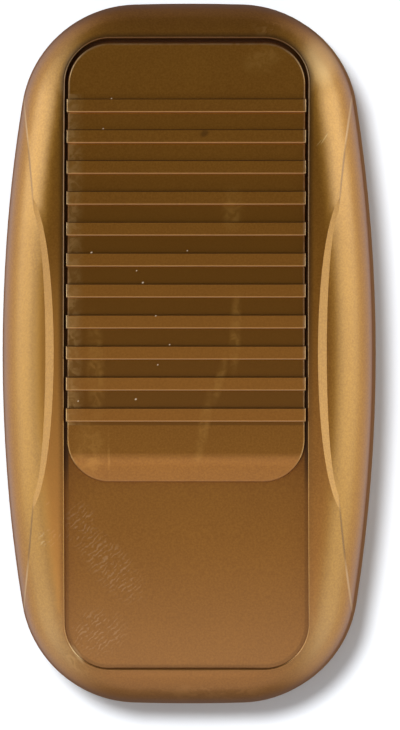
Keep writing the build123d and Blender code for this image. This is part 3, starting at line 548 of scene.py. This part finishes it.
def recess_painted_shade(tree, place, colour):
    """Painted shade on the rim outside the recess wall, and at the foot of the wall."""
    along = add_node(tree, "ShaderNodeSeparateXYZ", {"Vector": place}).outputs["Y"]
    off_recess = outside_plan(tree, place, *RECESS)
    # Painted shade on the rim, strongest at the far end.
    painted_rim_shade = multiplied(
        tree,
        add_node(tree, "ShaderNodeMapRange", [off_recess, 0.15 * MM, 1.2 * MM, 1.0, 0.0], **SMOOTH),
        add_node(tree, "ShaderNodeMapRange", [off_recess, -0.05 * MM, 0.1 * MM, 0.0, 1.0], **SMOOTH),
        add_node(tree, "ShaderNodeMapRange", [along, -25 * MM, 15 * MM, 0.12, 0.70], **SMOOTH),
    )
    # Painted shade in the gap at the foot of the wall.
    painted_gap_shade = multiplied(
        tree,
        add_node(tree, "ShaderNodeMapRange", [off_recess, -0.75 * MM, -0.45 * MM, 0.0, 1.0], **SMOOTH),
        add_node(tree, "ShaderNodeMapRange", [off_recess, -0.05 * MM, 0.1 * MM, 1.0, 0.0], **SMOOTH),
        add_node(tree, "ShaderNodeMapRange", [along, -24 * MM, -16 * MM, 0.22, 0.70], **SMOOTH),
    )
    factor = add_node(tree, "ShaderNodeMath", [painted_rim_shade, painted_gap_shade], operation="MAXIMUM")
    return add_node(tree, "ShaderNodeMix", {"Factor": factor, "A": colour, "B": PAINTED_SHADE_BROWN}, **COLOURS)


print("recess", 2 * RECESS[1][0], "by", 2 * RECESS[1][1], "mm")

# %% [markdown]
# The upper shell's material lays these marks over the gold one after another: first what the mould left, then the
# scratches, and then the painted highlights and painted shade on top.

# %% Upper shell


def gold_abs_housing():
    """The upper shell's moulding with its marks."""
    material, tree, shader, place = new_material("gold_abs_moulded_housing")
    colour = gold_colour(tree, place)
    for marked in (paler_swirls, frost_ripples, scratches_and_corner_highlight, painted_highlights, step_shade_and_highlight, recess_painted_shade):
        colour = marked(tree, place, colour)
    fill(tree, shader.inputs["Base Color"], colour)
    finish_gold(tree, shader)
    return material


dress(gold_abs_housing(), "top_housing")

# %% [markdown]
# The rib tops are rubbed by shoes and also painted lighter as a highlight, and the valleys between them are
# painted darker as shade. Stripes could be laid over the ribs by their pitch, but they would have to meet each rib
# exactly. The height above the slide's arc finds them by itself: it is the distance from the arc's axis less its
# radius. Both the painted highlight and the painted shade are stronger towards the near end of the slide.

# %% Painted highlight on the ribs, painted shade in the valleys
TRACK_CENTRE = (-9.9, -371.8)
VALLEY_RADIUS = 399.7
RIB_ZONE = (-11.4, 41.4)
RIB_ZONE_EDGE = 0.1


def rib_zone(tree, along):
    """One between the first and the last rib, nothing on both pads."""
    first, last = RIB_ZONE
    return multiplied(
        tree,
        add_node(tree, "ShaderNodeMapRange", [along, (first - RIB_ZONE_EDGE) * MM, first * MM, 0.0, 1.0], **SMOOTH),
        add_node(tree, "ShaderNodeMapRange", [along, last * MM, (last + RIB_ZONE_EDGE) * MM, 1.0, 0.0], **SMOOTH),
    )


def rib_highlight_and_valley_shade(tree, place, colour):
    """Painted shade in the valleys and a painted highlight on the rubbed rib tops, told apart by their height."""
    axes = add_node(tree, "ShaderNodeSeparateXYZ", {"Vector": place})
    along, up = axes.outputs["Y"], axes.outputs["Z"]
    squares = []
    for axis, centre in ((along, TRACK_CENTRE[0]), (up, TRACK_CENTRE[1])):
        leg = add_node(tree, "ShaderNodeMath", [axis, centre * MM], operation="SUBTRACT")
        squares.append(add_node(tree, "ShaderNodeMath", [leg, 2.0], operation="POWER"))
    reach = add_node(
        tree, "ShaderNodeMath", [add_node(tree, "ShaderNodeMath", squares, operation="ADD")], operation="SQRT"
    )
    height = add_node(tree, "ShaderNodeMath", [reach, VALLEY_RADIUS * MM], operation="SUBTRACT")
    low = add_node(tree, "ShaderNodeMapRange", [height, 0.15 * MM, 0.60 * MM, 1.0, 0.0], **SMOOTH)
    high = add_node(tree, "ShaderNodeMath", [1.0, low], operation="SUBTRACT")
    ribbed = rib_zone(tree, along)
    # Painted shade in the valleys and painted highlight on the rib tops, both stronger towards the near end.
    valley_shade_strength = add_node(tree, "ShaderNodeMapRange", [along, 34 * MM, 18 * MM, 0.15, 0.75], **SMOOTH)
    rib_highlight_strength = add_node(tree, "ShaderNodeMapRange", [along, 34 * MM, 0.0, 0.05, 0.35], **SMOOTH)
    painted_valley_shade = multiplied(tree, low, ribbed, valley_shade_strength)
    rubbed_rib_highlight = multiplied(tree, high, ribbed, rib_highlight_strength)
    colour = add_node(tree, "ShaderNodeMix", {"Factor": painted_valley_shade, "A": colour, "B": "86540E"}, **COLOURS)
    return add_node(tree, "ShaderNodeMix", {"Factor": rubbed_rib_highlight, "A": colour, "B": "DA8E40"}, **COLOURS)


print("valleys lie", VALLEY_RADIUS, "mm from the axis of the arc")

# %% [markdown]
# Flow lines of the moulding run down the slide as faint lighter bands. Each is a long thin mark, and noise breaks it
# into wisps, because a clean ellipse would look printed. The left ends of the ribs are rubbed and carry a painted
# highlight, and a small brown smudge lies near the second rib.

# %% Flow lines and a painted highlight on the rib ends
WISP = 1.4 * MM
FLOW_LINES = [
    ((7.9, 3.5), (1.2, 9.0), -2.0), ((5.4, -4.2), (1.0, 5.5), -14.0), ((2.8, -12.0), (1.2, 8.0), -10.0),
    ((7.4, 23.0), (2.2, 4.5), 0.0), ((-14.4, -2.5), (1.9, 11.0), 2.0), ((-12.3, -16.2), (0.3, 5.5), 1.0),
    ((-15.4, -15.5), (3.4, 6.5), 0.0), ((12.2, 47.0), (4.5, 2.8), 20.0),
]
SMUDGE = [((2.9, 35.1), (0.9, 0.7), 30.0)]


def wisp_noise(tree, place):
    """The uneven streaks that break flow lines and the painted edge highlights."""
    inputs = {"Vector": place, "Scale": 1 / WISP, "Detail": 3.0, "Distortion": 0.8}
    return add_node(tree, "ShaderNodeTexNoise", inputs)


def flow_lines_and_end_highlight(tree, place, colour):
    """Faint bands of the melt, a painted highlight on the rubbed left rib ends, and the smudge."""
    axes = add_node(tree, "ShaderNodeSeparateXYZ", {"Vector": place})
    wisps = add_node(tree, "ShaderNodeMapRange", [wisp_noise(tree, place), 0.38, 0.66, 0.25, 1.0], **SMOOTH)
    flow = multiplied(tree, spots(tree, place, FLOW_LINES, 0.7), wisps, 0.42)
    # Painted highlight on the left rib ends.
    ends = add_node(tree, "ShaderNodeMapRange", [axes.outputs["X"], -16.0 * MM, -18.4 * MM, 0.0, 0.55], **SMOOTH)
    ends = multiplied(tree, ends, wisps, rib_zone(tree, axes.outputs["Y"]))
    smudge = spots(tree, place, SMUDGE, 0.6, 0.5)
    for factor, mark in ((flow, "DC9E48"), (ends, "E4B06A"), (smudge, "5A3814")):
        colour = add_node(tree, "ShaderNodeMix", {"Factor": factor, "A": colour, "B": mark}, **COLOURS)
    return colour


print("flow lines", len(FLOW_LINES))

# %% [markdown]
# The rib edges that face the near end carry a painted highlight, and the far edges a painted shade. The surface's
# own direction tells them apart. The slide's outline is rubbed and carries a painted highlight too, only on its upper
# surface, and less towards the near end. The bevel at that end is tinted slightly paler.

# %% Painted highlights and shade on the rib edges and outline
SLIDE = ((0.0, 14.55), (19.0, 35.05), 6.7)


def edge_highlights_and_shade(tree, place, colour):
    """Painted highlights on the near edges, painted shade on the far edges, a painted highlight on the outline, and a
    paler bevel.
    """
    along = add_node(tree, "ShaderNodeSeparateXYZ", {"Vector": place}).outputs["Y"]
    normal = add_node(tree, "ShaderNodeSeparateXYZ", [add_node(tree, "ShaderNodeTexCoord").outputs["Normal"]])
    lean, upward = normal.outputs["Y"], normal.outputs["Z"]
    ribbed = rib_zone(tree, along)
    # Painted highlight on the rib edges that face the near end.
    near_edge_highlight = add_node(tree, "ShaderNodeMapRange", [lean, -0.15, -0.60, 0.0, 0.75], **SMOOTH)
    # Painted shade on the far rib edges.
    far_edge_shade = add_node(tree, "ShaderNodeMapRange", [lean, 0.15, 0.60, 0.0, 0.80], **SMOOTH)
    off_slide = outside_plan(tree, place, *SLIDE)
    # Painted highlight on the slide's outline, on its upper surface.
    outline = multiplied(
        tree,
        add_node(tree, "ShaderNodeMapRange", [off_slide, -0.45 * MM, -0.15 * MM, 0.0, 0.42], **SMOOTH),
        add_node(tree, "ShaderNodeMapRange", [along, -14 * MM, 2 * MM, 0.25, 1.0], **SMOOTH),
        add_node(tree, "ShaderNodeMapRange", [upward, 0.25, 0.60, 0.0, 1.0], **SMOOTH),
        add_node(tree, "ShaderNodeMapRange", [wisp_noise(tree, place), 0.30, 0.60, 0.4, 1.0], **SMOOTH),
    )
    bevel = add_node(tree, "ShaderNodeMapRange", [along, -17.2 * MM, -19.4 * MM, 0.0, 0.05], **SMOOTH)
    for factor, mark in (
        (multiplied(tree, near_edge_highlight, ribbed), "FFD69A"), (multiplied(tree, far_edge_shade, ribbed), "4A2C0C"),
        (outline, "E4BC90"), (bevel, "C0946C"),
    ):
        colour = add_node(tree, "ShaderNodeMix", {"Factor": factor, "A": colour, "B": mark}, **COLOURS)
    return colour


print("slide", 2 * SLIDE[1][0], "by", 2 * SLIDE[1][1], "mm")

# %% [markdown]
# Dust specks lie in the valleys, three bright ones and several faint ones. They could be small shapes, but at a
# quarter of a millimetre they are flat to the eye, so they are marks. A speck isn't metal, so where it lies the
# metallic value falls too, and the speck stays pale beside the dark gold.

# %% Dust and slide material
SPECK_TURN = 35.0
BRIGHT_SPECK = (0.26, 0.20)
FAINT_SPECK = (0.19, 0.14)
BRIGHT_DUST = [(-15.1, 16.1), (-6.9, 11.3), (-8.0, -7.3)]
FAINT_DUST = [
    (-7.9, 13.2), (-4.8, 6.0), (-2.6, 1.4), (-4.5, -1.8), (-17.2, -7.6), (-12.0, 40.7), (-13.3, 35.9), (0.2, 16.4),
]
DUST_METAL = 0.2


def dust_specks(tree, place):
    """A mask of all specks."""
    marks = [(middle, BRIGHT_SPECK, SPECK_TURN) for middle in BRIGHT_DUST]
    marks += [(middle, FAINT_SPECK, SPECK_TURN) for middle in FAINT_DUST]
    return add_node(tree, "ShaderNodeMapRange", [strongest(tree, place, marks), 0.1, 0.6, 0.0, 0.75], **SMOOTH)


def gold_abs_slide():
    """The slide's moulding with painted highlights and shade on its ribs and edges, and dust."""
    material, tree, shader, place = new_material("gold_abs_moulded_slide")
    colour = gold_colour(tree, place)
    for marked in (rib_highlight_and_valley_shade, flow_lines_and_end_highlight, edge_highlights_and_shade):
        colour = marked(tree, place, colour)
    dust = dust_specks(tree, place)
    dusty = add_node(tree, "ShaderNodeMix", {"Factor": dust, "A": colour, "B": "E8D4B4"}, **COLOURS)
    fill(tree, shader.inputs["Base Color"], dusty)
    finish_gold(tree, shader)
    metal = add_node(tree, "ShaderNodeMapRange", [dust, 0.0, 1.0, GOLD_METAL, DUST_METAL], **SMOOTH)
    fill(tree, shader.inputs["Metallic"], metal)
    return material


dress(gold_abs_slide(), "foot_slider")

# %% [markdown]
# The other pieces share a few recipes. Moulded plastic, rubber and ceramic have a fine uneven grain in their
# colour and gloss, and the matt ones a little relief. Sheet and wire metals are drawn or rolled, so their grain
# is pulled out along one axis. Each finish has its own name, colours, grain size and gloss.

# %% Recipes for plastics and metals
MOULDED_GLOSS_SWING = 0.06
ROLLED_GLOSS_SWING = 0.08
RELIEF_STRENGTH = 0.4


def moulded(name, dark, light, grain, gloss, bump=0.0):
    """Plastic, rubber or ceramic: a grain in colour and gloss, with a little relief."""
    material, tree, shader, place = new_material(name)
    noise = add_node(tree, "ShaderNodeTexNoise", {"Vector": place, "Scale": 1 / (grain * MM), "Detail": 3.0})
    colour = add_node(tree, "ShaderNodeMix", {"Factor": noise, "A": dark, "B": light}, **COLOURS)
    fill(tree, shader.inputs["Base Color"], colour)
    ends = (gloss - MOULDED_GLOSS_SWING, gloss + MOULDED_GLOSS_SWING)
    fill(tree, shader.inputs["Roughness"], add_node(tree, "ShaderNodeMapRange", [noise, 0.3, 0.7, *ends]))
    if bump:
        inputs = {"Height": noise, "Strength": RELIEF_STRENGTH, "Distance": bump * MM}
        fill(tree, shader.inputs["Normal"], add_node(tree, "ShaderNodeBump", inputs))
    return material


def rolled_metal(name, dark, light, grain, pull, gloss):
    """Sheet, wire or plated metal: a grain pulled out along Y."""
    material, tree, shader, place = new_material(name)
    pulled = add_node(tree, "ShaderNodeMapping", {"Vector": place, "Scale": (1.0, 1.0 / pull, 1.0)})
    noise = add_node(tree, "ShaderNodeTexNoise", {"Vector": pulled, "Scale": 1 / (grain * MM), "Detail": 2.0})
    colour = add_node(tree, "ShaderNodeMix", {"Factor": noise, "A": dark, "B": light}, **COLOURS)
    fill(tree, shader.inputs["Base Color"], colour)
    ends = (gloss - ROLLED_GLOSS_SWING, gloss + ROLLED_GLOSS_SWING)
    fill(tree, shader.inputs["Roughness"], add_node(tree, "ShaderNodeMapRange", [noise, 0.3, 0.7, *ends]))
    shader.inputs["Metallic"].default_value = 1.0
    return material


print("gloss swings by", MOULDED_GLOSS_SWING, "on mouldings and", ROLLED_GLOSS_SWING, "on metals")

# %% [markdown]
# Outside the gold mouldings only the feet and the case screws show, on the underside. The feet are matt black
# rubber with a dusty bloom and a fine relief, which keeps them from shining. The screws are zinc-plated steel, a
# grey metal with a faint yellow cast. Both come from the recipes, as do all the hidden parts that follow.

# %% Feet and screws
dress(moulded("black_rubber_moulded", "1C1B1A", "2B2A28", 0.5, 0.75, 0.02), "rubber_feet")
dress(
    rolled_metal("steel_zinc_plated", "A8A69C", "C4C2B6", 0.4, 3.0, 0.34),
    "case_screws", "keeper_screws", "board_screws", "clamp_screws", "terminal_screws", "triac_screw",
)

# %% [markdown]
# Inside, the board is brown laminated paper with its resin sheen. The slide control is a tinned steel can on a
# laminate base with a black lever. The keeper is natural acetal, white and waxy, because it has to slide. The
# bars that clamp the cords are black polyamide.

# %% Board, slide control, keeper and clamps
dress(moulded("phenolic_paper_laminate", "8A5A2C", "A06C38", 1.2, 0.42), "circuit_board")
dress(rolled_metal("steel_tinned_sheet", "B4B6B6", "CDCFCE", 0.6, 8.0, 0.30), "control_cover")
dress(moulded("phenolic_moulded_dark", "2E2219", "3B2D22", 0.4, 0.5), "control_base")
dress(moulded("acetal_black", "161616", "222222", 0.6, 0.4), "control_lever")
dress(moulded("acetal_natural", "DCD8CC", "E8E5DA", 1.0, 0.38), "slider_keeper")
dress(moulded("polyamide_black", "1A1B1C", "282A2B", 0.5, 0.5, 0.01), "mains_cord_clamp", "lamp_cord_clamp")

# %% [markdown]
# The choke is a sintered grey ring wound with enamelled copper wire of 0.6 mm. Enamel is a clear amber coat, so the
# winding has a coat of its own over the metal. Single turns would be too fine to show, so a wave draws them coarser:
# its phase runs twenty times as fast as its Scale, and one band covers about six wires.

# %% Choke
WIRE = 0.6 * MM
WAVE_RATE = 20
TURN_RELIEF = 0.1 * MM


def enamelled_copper():
    """Copper turns under amber enamel."""
    material, tree, shader, place = new_material("copper_enamelled")
    inputs = {"Vector": place, "Scale": 1 / WIRE / WAVE_RATE, "Distortion": 0.4}
    turns = add_node(tree, "ShaderNodeTexWave", inputs, wave_type="BANDS", bands_direction="Y").outputs["Fac"]
    colour = add_node(tree, "ShaderNodeMix", {"Factor": turns, "A": "7A3A1C", "B": "C46C38"}, **COLOURS)
    fill(tree, shader.inputs["Base Color"], colour)
    relief = add_node(tree, "ShaderNodeBump", {"Height": turns, "Distance": TURN_RELIEF})
    fill(tree, shader.inputs["Normal"], relief)
    for name, value in (("Metallic", 1.0), ("Roughness", 0.35), ("Coat Weight", 0.8), ("Coat Roughness", 0.1)):
        shader.inputs[name].default_value = value
    return material


dress(moulded("ferrite_sintered", "3A3B3C", "4A4B4B", 0.3, 0.6, 0.02), "choke_core")
dress(enamelled_copper(), "choke_winding")

# %% [markdown]
# The small parts are known by their colour: a mill-finish aluminium sink, a black epoxy switching device, a grey
# boxed capacitor, two ochre dipped film capacitors, beige lacquered resistors, an orange glass diac, nickel fuse
# caps in tinned clips, and grey terminal blocks.

# %% Small board parts
dress(rolled_metal("aluminium_mill_finish", "B8BABD", "CFD1D3", 0.3, 12.0, 0.32), "heat_sink")
dress(moulded("epoxy_black_moulded", "151516", "202122", 0.4, 0.5), "triac")
dress(moulded("polyester_box_grey", "8E9294", "9DA1A3", 1.5, 0.45), "suppression_capacitor")
dress(moulded("epoxy_dipped_ochre", "A65A22", "B96A2C", 1.0, 0.22), "timing_capacitors")
dress(moulded("lacquer_beige", "C6AE86", "D4BE98", 0.8, 0.35), "resistors")
dress(moulded("glass_orange_sealed", "B4551E", "CC6C2A", 0.7, 0.12), "diac")
dress(rolled_metal("nickel_plated_cap", "BDB8AC", "D2CDC2", 0.5, 2.0, 0.2), "fuse_caps")
dress(rolled_metal("bronze_tinned_spring", "B0AEA6", "C8C6BE", 0.5, 5.0, 0.3), "fuse_clips")
dress(moulded("polyamide_grey", "7C8082", "8C9092", 0.6, 0.5, 0.01), "mains_terminal", "lamp_terminal")

# %% [markdown]
# The fuse is a drawn glass tube. Drawing leaves faint waves along it, so its noise is pulled out along Y and
# moves the gloss a little, and the glass itself is clear.

# %% Fuse glass
GLASS_WAVE = 0.8 * MM
GLASS_PULL = 0.1
GLASS_IOR = 1.52


def clear_glass():
    """A drawn tube: clear, with faint lengthwise waviness in its gloss."""
    material, tree, shader, place = new_material("glass_drawn_tube")
    pulled = add_node(tree, "ShaderNodeMapping", {"Vector": place, "Scale": (1.0, GLASS_PULL, 1.0)})
    waves = add_node(tree, "ShaderNodeTexNoise", {"Vector": pulled, "Scale": 1 / GLASS_WAVE, "Detail": 1.0})
    colour = add_node(tree, "ShaderNodeMix", {"Factor": waves, "A": "E6EEEA", "B": "F4FAF7"}, **COLOURS)
    fill(tree, shader.inputs["Base Color"], colour)
    fill(tree, shader.inputs["Roughness"], add_node(tree, "ShaderNodeMapRange", [waves, 0.3, 0.7, 0.02, 0.08]))
    shader.inputs["IOR"].default_value = GLASS_IOR
    shader.inputs["Transmission Weight"].default_value = 1.0
    return material


dress(clear_glass(), "fuse_glass")

# %% [markdown]
# The last cell looks for pieces without a material, and prints them.

# %% Finish
bare = [name for name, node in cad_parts.items() if not node.data.materials]
print("nodes", len(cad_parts), "without a material", bare)
